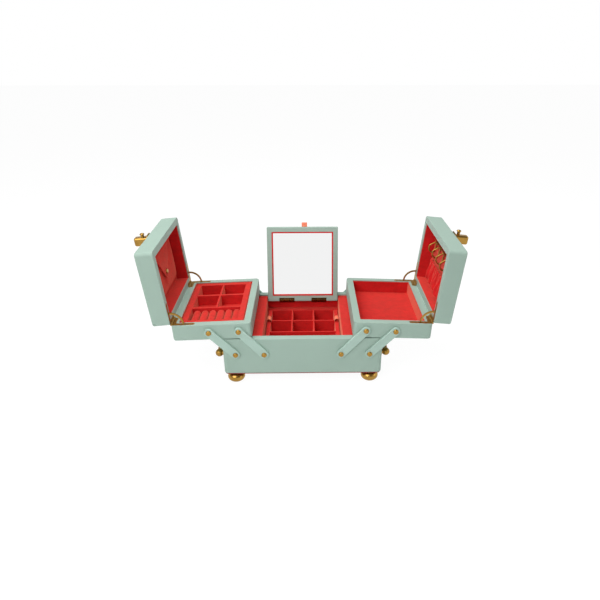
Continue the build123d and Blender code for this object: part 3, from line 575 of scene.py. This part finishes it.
def flap_cloth(base, tip, half, lift):
    """The flap's middle layer: a triangle with a rounded tip, folded back along its base.

    Returns it with its depth from the base to the tip.
    """
    radius, fold, drape, curl = 6.5 * MM, 3.2 * MM, 0.35 * MM, 0.5 * MM
    tuck, weld = 0.10, 0.02 * MM
    crowding = 1.4  # above 1, the rows stand closer together towards the tip
    height = base - tip
    slope = half / height
    middle = radius * math.sqrt(1 + 1 / slope**2)
    first = middle - radius
    tangent = middle - radius * slope / math.hypot(1, slope)
    cloth = bmesh.new()
    bmesh.ops.create_grid(cloth, x_segments=48, y_segments=48, size=0.5)
    for vert in cloth.verts:
        up, across = vert.co.x + 0.5, vert.co.y * 2
        rise = first + (height - first) * up**crowding
        reach = slope * rise
        if rise < tangent:
            reach = math.sqrt(max(0.0, radius**2 - (rise - middle) ** 2))
        shoulder = 1 - tuck * ease(up, 0.93, 0.07) ** 2
        back = fold * ease(rise / height, 0.90, 0.10)
        wave = drape * wander(across * 1.5, up * 2.0, 9.0) * ease(up, 0.4, 0.3)
        edge = curl * abs(across) ** 6 * ease(up, 0.0, 0.3)
        vert.co.x = tip + rise
        vert.co.y = across * reach * shoulder
        vert.co.z = lift - back + wave - edge
    bmesh.ops.remove_doubles(cloth, verts=cloth.verts, dist=weld)
    return cloth, height - first


def gathered_cloth(soft):
    """The gathered pocket: loose folds below, small gathers at the elastic, a turned hem above."""
    start, end, half = 14 * MM, 50.5 * MM, 72.6 * MM
    fullness, clear, hem = 7.6 * MM, 0.5 * MM, 1.1 * MM
    sway, tug = 0.6 * MM, 0.5 * MM  # how far a fold shifts sideways, and the elastic up and down
    cloth_share, hem_share = 0.92, 0.08  # of the grid's rows
    cloth = bmesh.new()
    bmesh.ops.create_grid(cloth, x_segments=56, y_segments=240, size=0.5)
    for vert in cloth.verts:
        up, across = vert.co.x + 0.5, vert.co.y * 2
        y = across * half
        turn = max(0.0, up - cloth_share) / hem_share * math.pi
        up = min(1.0, up / cloth_share)
        rise, elastic = ease(up, 0.0, 0.24), ease(up, 0.42, 0.55)
        side = (1 - abs(across) ** 12) * (1 - 0.18 * across)

        # loose folds of uneven width, that lean and have a sharper and a flatter side
        drift = wander(y * 17, up * 1.1, 2.0) * 2.2
        phase = y / soft.fold_pitch * math.tau + drift + 1.3 * (1 - up)
        fold = 1.15 * math.sin(phase) - 0.28 * math.cos(2 * phase)
        fold += 0.2 * math.sin(2.7 * phase + 0.7)
        # small gathers, a little uneven too
        ripple = 2.6 * wander(y * 38, up * 1.4, 5.0)
        pleat = math.sin(y / soft.pleat_pitch * math.tau + ripple)

        # the elastic draws the cloth in, and keeps more of the gathers than of the folds
        swell = fullness * rise * (1 - 0.36 * elastic)
        swell += fold * soft.fold_depth * rise * (1 - 0.72 * elastic)
        swell += pleat * soft.pleat_depth * rise * (0.45 + 0.55 * elastic)
        rolled = hem * (1 - math.cos(turn)) * rise * side
        vert.co.x = start + up * (end - start) + hem * math.sin(turn) + tug * fold * elastic
        vert.co.y = y + sway * math.cos(phase) * rise * side
        vert.co.z = max(clear, swell * side) - rolled
    return cloth


def band(name, path, width, place):
    """A ribbon: a path in mm in x and z, drawn out across its width in y."""
    thickness, steps = 0.4 * MM, 6
    ribbon = bmesh.new()
    points = [ribbon.verts.new((x * MM, -width / 2, z * MM)) for x, z in path]
    front = [ribbon.edges.new(pair) for pair in zip(points, points[1:])]
    for _ in range(steps):
        drawn = bmesh.ops.extrude_edge_only(ribbon, edges=front)["geom"]
        moved = [part for part in drawn if isinstance(part, bmesh.types.BMVert)]
        bmesh.ops.translate(ribbon, vec=(0, width / steps, 0), verts=moved)
        front = [part for part in drawn if isinstance(part, bmesh.types.BMEdge)]
        front = [edge for edge in front if all(end in moved for end in edge.verts)]
    made = piece(name, ribbon, place, finishes()["ribbon"])
    thicken(made, thickness, levels=2)
    return made


def wire_loop(path, wire, foot):
    """Mesh of a closed wire loop: a path in mm in x and z, its x measured from the foot."""
    curve = bpy.data.curves.new("loop", "CURVE")
    curve.dimensions = "3D"
    curve.bevel_depth = wire
    curve.bevel_resolution = 3
    curve.resolution_u = 6
    ring = curve.splines.new("NURBS")
    ring.points.add(len(path) - 1)
    for point, (x, z) in zip(ring.points, path):
        point.co = (foot + x * MM, 0, z * MM, 1)
    ring.order_u = 3
    ring.use_cyclic_u = True
    bent = bpy.data.objects.new("loop", curve)
    tube = bpy.data.meshes.new_from_object(bent)
    bpy.data.objects.remove(bent)
    bpy.data.curves.remove(curve)
    return tube


def button(mesh, radius, rise, crown, foot):
    """A round plate standing up from `foot` along z, its top edge rounded by `crown`."""
    middle = foot + Vector((0, 0, rise / 2))
    plate = bmesh.ops.create_cone(
        mesh, cap_ends=True, segments=40, radius1=radius, radius2=radius, depth=rise,
        matrix=Matrix.Translation(middle),
    )
    edges = {edge for vert in plate["verts"] for edge in vert.link_edges}
    tops = [edge for edge in edges if all(end.co.z > middle.z for end in edge.verts)]
    bevel(mesh, tops, crown, 5)


def slotted_head(radius, rise):
    """Mesh of one low screw head, sunk to half its rise, with a slot across it."""
    taper, slot = 0.86, 0.14  # the top's radius and half the slot's width, as shares of the radius
    head = bmesh.new()
    for turn in (0, math.pi):
        half = bmesh.new()
        bmesh.ops.create_cone(
            half, cap_ends=True, segments=24, radius1=radius, radius2=radius * taper, depth=rise
        )
        bmesh.ops.bisect_plane(
            half, geom=[*half.verts, *half.edges, *half.faces],
            plane_co=(0, radius * slot, 0), plane_no=(0, 1, 0), clear_inner=True,
        )
        bmesh.ops.holes_fill(half, edges=half.edges)
        part = bpy.data.meshes.new("half")
        half.to_mesh(part)
        half.free()
        stamp(head, part, Matrix.Rotation(turn, 4, "Z"))
        bpy.data.meshes.remove(part)
    data = bpy.data.meshes.new("screw_head")
    head.to_mesh(data)
    head.free()
    return data


# ---------------------------------------------------------------- operators
class VANITY_OT_covers(bpy.types.Operator):
    """Cover the cases and the mirror frame, and paint the arms"""

    bl_idname = "vanity.covers"
    bl_label = "Cover the boards"

    def execute(self, context):
        dressed = finishes()
        for name in SIDES:
            dress(dressed["cover"], f"{name}_tray_case", f"{name}_lid_case")
            for pair in ("outer", "inner"):
                dress(dressed["paint"], f"{name}_{pair}_arm_front", f"{name}_{pair}_arm_rear")
        dress(dressed["cover"], "base_case", "mirror_frame")
        return {"FINISHED"}


class VANITY_OT_linings(bpy.types.Operator):
    """Line the base, the tray boxes and the lids with suede, and put felt under the base"""

    bl_idname = "vanity.linings"
    bl_label = "Line with suede"

    def execute(self, context):
        dressed = finishes()
        for name in SIDES:
            for part in ("ledge", "tray_lining", "lid_lining"):
                dress(dressed["suede"], f"{name}_{part}")
        dress(dressed["suede"], "well_lining", "well_tray", "left_insert", "mirror_trim")
        dress(dressed["felt"], "base_felt")
        return {"FINISHED"}


class VANITY_OT_brass(bpy.types.Operator):
    """Finish the feet, handles, hinges, stays, rivets and clasps in brass"""

    bl_idname = "vanity.brass"
    bl_label = "Finish the brass"

    def execute(self, context):
        dressed = finishes()
        dress(dressed["brass"], "feet", "base_rivets")
        # the mirror hinges get the darker brass: painted shade where they sit under the frame
        dress(dressed["aged"], "mirror_wall_leaves", "mirror_frame_leaves", "mirror_pins")
        polished = ("tray_rivets", "clasp_block", "clasp_knob")
        duller = ("handle", "tray_hinge_leaves", "lid_hinge_leaves", "hinge_pins", "lid_stays")
        for name in SIDES:
            dress(dressed["brass"], *(f"{name}_{part}" for part in polished))
            dress(dressed["satin_brass"], *(f"{name}_{part}" for part in duller))
        return {"FINISHED"}


class VANITY_OT_glass(bpy.types.Operator):
    """Silver the mirror"""

    bl_idname = "vanity.glass"
    bl_label = "Silver the mirror"

    def execute(self, context):
        dress(finishes()["mirror"], "mirror_glass")
        return {"FINISHED"}


class VANITY_OT_rolls(bpy.types.Operator):
    """Make the six padded ring rolls"""

    bl_idname = "vanity.rolls"
    bl_label = "Make the ring rolls"

    def execute(self, context):
        soft = context.scene.vanity_soft
        count, width, length, height = 6, 12.3 * MM, 38.6 * MM, 15.2 * MM
        first, pitch, middle, floor = 31.1 * MM, 13.3 * MM, -46.7 * MM, -19.5 * MM
        foot, lump = -height * 0.4, 0.25 * MM
        for index in range(count):
            roll = roll_block(width, length, height)
            # above its foot, a roll swells towards its middle and is a little uneven
            for vert in roll.verts:
                share = 1 - (2 * vert.co.y / length) ** 2
                uneven = wander(vert.co.y * 60, vert.co.x * 40, index * 3.1) * lump
                if vert.co.z > foot:
                    vert.co.z += soft.roll_crown * share + uneven
            spot = Matrix.Translation((first + pitch * index, middle, floor + height / 2))
            place = tray_frame(SIDES["left"]) @ spot
            made = piece(f"ring_roll_{index + 1}", roll, place, finishes()["suede"])
            round_off(made, 1)
            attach(made, "left_insert")
            if index == 0:
                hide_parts("ring_rolls")
        return {"FINISHED"}


class VANITY_OT_left_pocket(bpy.types.Operator):
    """Make the padded pocket of the left lid with its envelope flap and brass stud"""

    bl_idname = "vanity.left_pocket"
    bl_label = "Make the envelope pocket"

    def execute(self, context):
        soft = context.scene.vanity_soft
        dressed = finishes()
        place = lid_frame(SIDES["left"])

        made = piece("envelope_pocket", pocket_pad(soft.pocket_crown), place, dressed["suede"])
        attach(made, "left_lid")
        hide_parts("left_pocket")

        base, tip, half, face = 103 * MM, 43 * MM, 45 * MM, 8.9 * MM
        cloth, depth = flap_cloth(base, tip, half, face - soft.flap * 0.5)
        made = piece("envelope_flap", cloth, place, dressed["suede"])
        thicken(made, soft.flap, levels=1)
        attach(made, "pocket_flap")
        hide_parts("pocket_flap")

        stud = bmesh.new()
        foot = Vector((tip + 15.95 * MM, 0, face - 0.1 * MM))
        button(stud, radius=4.3 * MM, rise=2.3 * MM, crown=1.6 * MM, foot=foot)
        made = piece("flap_stud", stud, place, dressed["brass"])
        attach(made, "pocket_flap")
        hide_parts("flap_snap")
        return {"FINISHED"}


class VANITY_OT_right_pocket(bpy.types.Operator):
    """Make the gathered pocket of the right lid, with its elastic and its hem"""

    bl_idname = "vanity.right_pocket"
    bl_label = "Make the gathered pocket"

    def execute(self, context):
        soft = context.scene.vanity_soft
        place = lid_frame(SIDES["right"])
        made = piece("gathered_pocket", gathered_cloth(soft), place, finishes()["suede"])
        thicken(made, soft.cloth, offset=1.0)
        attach(made, "right_lid")
        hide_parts("right_pocket", "right_pocket_edge")
        return {"FINISHED"}


class VANITY_OT_ribbons(bpy.types.Operator):
    """Make the ribbon loop of the mirror and the pull tabs of the well tray"""

    bl_idname = "vanity.ribbons"
    bl_label = "Make the ribbons"

    def execute(self, context):
        width, length, sunk = 10 * MM, 17.6 * MM, 4 * MM
        lean = math.radians(15)
        up = Vector((0, math.sin(lean), math.cos(lean)))
        back = Vector((0, math.cos(lean), -math.sin(lean)))
        low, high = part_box("mirror_ribbon")
        place = basis((low + high) / 2 - up * sunk, up, Vector((1, 0, 0)), back)
        loop = (
            (-0.6, 0.55), (2, 0.70), (4.6, 0.62), (6.8, 0.66), (7.7, 0.42), (7.9, 0),
            (7.7, -0.42), (6.6, -0.66), (4.4, -0.60), (2, -0.70), (-0.6, -0.55),
        )
        made = band("mirror_pull", loop, width, place)
        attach(made, "mirror_lid")
        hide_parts("mirror_ribbon")

        low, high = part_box("well_tray_ribbons")
        width, length = high.y - low.y, 26.4 * MM
        tab = (
            (-8.1, -2.8), (-8.5, 0.8), (-7.8, 3.6), (-5.4, 5.6), (-2.4, 5.4), (-0.3, 3.0),
            (0.1, 0.4), (-0.3, -2.2), (-0.44, -4.8), (-0.4, -8.6),
        )
        for name, side in SIDES.items():
            corner = Vector((side * high.x, (low.y + high.y) / 2, high.z))
            place = basis(corner, Vector((side, 0, 0)), Vector((0, side, 0)), Vector((0, 0, 1)))
            made = band(f"{name}_pull_tab", tab, width, place)
            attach(made, "well_tray")
            if side < 0:
                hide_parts("well_tray_ribbons")
        return {"FINISHED"}


class VANITY_OT_hooks(bpy.types.Operator):
    """Bend the five wire loops of the necklace rail in the right lid"""

    bl_idname = "vanity.hooks"
    bl_label = "Bend the hooks"

    def execute(self, context):
        foot, spacing, count, wire = 89 * MM, 27.5 * MM, 5, 1.35 * MM
        loop = (
            (0.4, 2.4), (-0.2, 3.6), (-2.4, 6.6), (-5.6, 11.2), (-7.8, 14.0), (-8.8, 14.3),
            (-12.0, 14.1), (-15.6, 13.4), (-19.2, 10.4), (-20.6, 7.4), (-18.6, 4.2),
            (-15.0, 2.9), (-9.0, 2.6), (-1.4, 2.2),
        )
        tube = wire_loop(loop, wire, foot)
        rail = bmesh.new()
        for index in range(count):
            shift = (index - (count - 1) / 2) * spacing
            stamp(rail, tube, Matrix.Translation((0, shift, 0)))
            plate_foot = Vector((foot - 1.2 * MM, shift, 0))
            button(rail, radius=2.3 * MM, rise=1.4 * MM, crown=0.5 * MM, foot=plate_foot)
        bpy.data.meshes.remove(tube)
        place = lid_frame(SIDES["right"])
        made = piece("necklace_loops", rail, place, finishes()["satin_brass"])
        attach(made, "right_lid")
        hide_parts("right_hooks")
        return {"FINISHED"}


class VANITY_OT_screws(bpy.types.Operator):
    """Set slotted screws in the leaves of the box hinges"""

    bl_idname = "vanity.screws"
    bl_label = "Set the hinge screws"

    def execute(self, context):
        head = slotted_head(radius=1.25 * MM, rise=0.16 * MM)
        # in mm: from the hinge line, and from the box's middle to either end
        holes = ((11, 81.25), (33, 81.25), (4.8, 62.5), (4.8, 71.5))
        for name, side in SIDES.items():
            faces = {"tray": tray_frame(side), "lid": lid_frame(side, LEAF_FACE)}
            for kind, face in faces.items():
                heads = bmesh.new()
                for end in (-1, 1):
                    for x, y in holes:
                        spot = Matrix.Translation((0, end * y * MM, 0)) @ face
                        turn = Matrix.Rotation(x * 0.7 + y + end, 4, "Z")
                        stamp(heads, head, spot @ Matrix.Translation((x * MM, 0, 0)) @ turn)
                made = piece(
                    f"{name}_{kind}_hinge_screws", heads, Matrix(), finishes()["brass"],
                    smooth=False,
                )
                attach(made, f"{name}_{kind}")
        bpy.data.meshes.remove(head)
        return {"FINISHED"}


class VANITY_OT_stage(bpy.types.Operator):
    """Set the floor, the soft lights and the camera"""

    bl_idname = "vanity.stage"
    bl_label = "Set the stage"

    def execute(self, context):
        stage = context.scene.vanity_stage
        lay_floor(stage)
        light_room(stage)
        hang_softboxes(stage)
        set_camera(stage)
        context.scene.view_settings.view_transform = "Standard"
        return {"FINISHED"}


# ---------------------------------------------------------------- stage
def lay_floor(stage):
    """Lay a pale floor that shows white, and keeps the object's shadow."""
    half_width, gap = 6, 0.05 * MM
    surface = Finish("pale floor")
    surface.finish(Base_Color=(0.93, 0.93, 0.93, 1), Roughness=0.9, Specular_IOR_Level=0.1)
    glow = surface.add("ShaderNodeEmission", values={"Color": (1, 1, 1, 1), "Strength": 1.06})
    share = surface.seen() * stage.floor_glow
    sockets = {0: share, 1: surface.shader.outputs[0], 2: glow.outputs[0]}
    mixed = surface.add("ShaderNodeMixShader", values=sockets)
    surface.fill(surface.output, {"Surface": mixed.outputs[0]})
    floor = bmesh.new()
    bmesh.ops.create_grid(floor, x_segments=1, y_segments=1, size=half_width)
    piece("floor", floor, Matrix.Translation((0, 0, -gap)), surface.material)


def light_room(stage):
    """Light the room: dim for the object, white where it is seen, and darker high up in glosses."""
    ceiling_from, ceiling_to = 0.24, 0.46  # sines of the heights between which the room darkens
    world = bpy.data.worlds.new("studio")
    bpy.context.scene.world = world
    world.use_nodes = True
    room = Tree(world.node_tree)
    way = room.add("ShaderNodeTexCoord").outputs["Generated"]
    rise = Value(room, room.add("ShaderNodeSeparateXYZ", values={0: way}).outputs["Z"])
    gloss = Value(room, room.add("ShaderNodeLightPath").outputs["Is Glossy Ray"])
    ceiling = 1 - gloss * room.limits(rise, ceiling_from, ceiling_to, 0.0, 1 - stage.ceiling)
    light = room.limits(room.seen(), 0.0, 1.0, stage.world_light, 1.0) * ceiling
    sky = room.add("ShaderNodeBackground", values={"Color": (1, 1, 1, 1), "Strength": light})
    room.add("ShaderNodeOutputWorld", values={"Surface": sky.outputs[0]})


def hang_softboxes(stage):
    """Hang the three square lamps, aimed at the object."""
    target = Vector((0, 0, 0.1))
    lamps = (
        ("key", (-0.56, -0.90, 0.92), 0.8, stage.key_power),
        ("fill", (1.20, -0.25, 0.75), 0.8, stage.fill_power),
        ("top", (-0.22, 0.12, 1.30), 0.9, stage.top_power),
    )
    for name, place, size, power in lamps:
        lamp = bpy.data.lights.new(name, "AREA")
        lamp.shape = "SQUARE"
        lamp.size = size
        lamp.energy = power
        softbox = put(name, lamp)
        softbox.location = place
        softbox.rotation_euler = aim(target - Vector(place))


def set_camera(stage):
    """Set the camera in front of the box, above it, looking down."""
    yaw, pitch = 0.0159, 0.4642
    level = math.cos(pitch)
    view = Vector((math.sin(yaw) * level, math.cos(yaw) * level, -math.sin(pitch)))
    camera = bpy.data.cameras.new("camera")
    camera.lens = stage.lens
    camera.sensor_width = 36
    camera.shift_x, camera.shift_y = -0.0247, 0.0017
    camera.clip_start = 0.01
    eye = put("camera", camera)
    eye.location = (8.13 * MM, -827.74 * MM, 522.62 * MM)
    eye.rotation_euler = aim(view)
    bpy.context.scene.camera = eye


def aim(way):
    """The turn that points a lamp or camera along a direction."""
    return way.to_track_quat("-Z", "Y").to_euler()


# ---------------------------------------------------------------- add-on
OPERATORS = (
    VANITY_OT_covers,
    VANITY_OT_linings,
    VANITY_OT_brass,
    VANITY_OT_glass,
    VANITY_OT_rolls,
    VANITY_OT_left_pocket,
    VANITY_OT_right_pocket,
    VANITY_OT_ribbons,
    VANITY_OT_hooks,
    VANITY_OT_screws,
    VANITY_OT_stage,
)
GROUPS = {"vanity_covers": VanityCovers, "vanity_soft": VanitySoft, "vanity_stage": VanityStage}


class VANITY_PT_panel(bpy.types.Panel):
    """Pieces and finishes of the vanity box"""

    bl_label = "Vanity box"
    bl_space_type = "VIEW_3D"
    bl_region_type = "UI"
    bl_category = "Vanity box"

    def draw(self, context):
        """List the settings, then the operators."""
        for group in GROUPS:
            settings = getattr(context.scene, group)
            box = self.layout.box()
            for name in settings.__annotations__:
                box.prop(settings, name)
        for operator in OPERATORS:
            self.layout.operator(operator.bl_idname)


def register():
    """Add the settings, the operators and the panel."""
    for name, group in GROUPS.items():
        bpy.utils.register_class(group)
        setattr(bpy.types.Scene, name, bpy.props.PointerProperty(type=group))
    for operator in OPERATORS:
        bpy.utils.register_class(operator)
    bpy.utils.register_class(VANITY_PT_panel)


def unregister():
    """Take them away again."""
    bpy.utils.unregister_class(VANITY_PT_panel)
    for operator in reversed(OPERATORS):
        bpy.utils.unregister_class(operator)
    for name, group in GROUPS.items():
        delattr(bpy.types.Scene, name)
        bpy.utils.unregister_class(group)


def main():
    """Make every piece in order."""
    register()
    for operator in OPERATORS:
        group, action = operator.bl_idname.split(".")
        getattr(getattr(bpy.ops, group), action)()


if __name__ == "__main__":
    main()
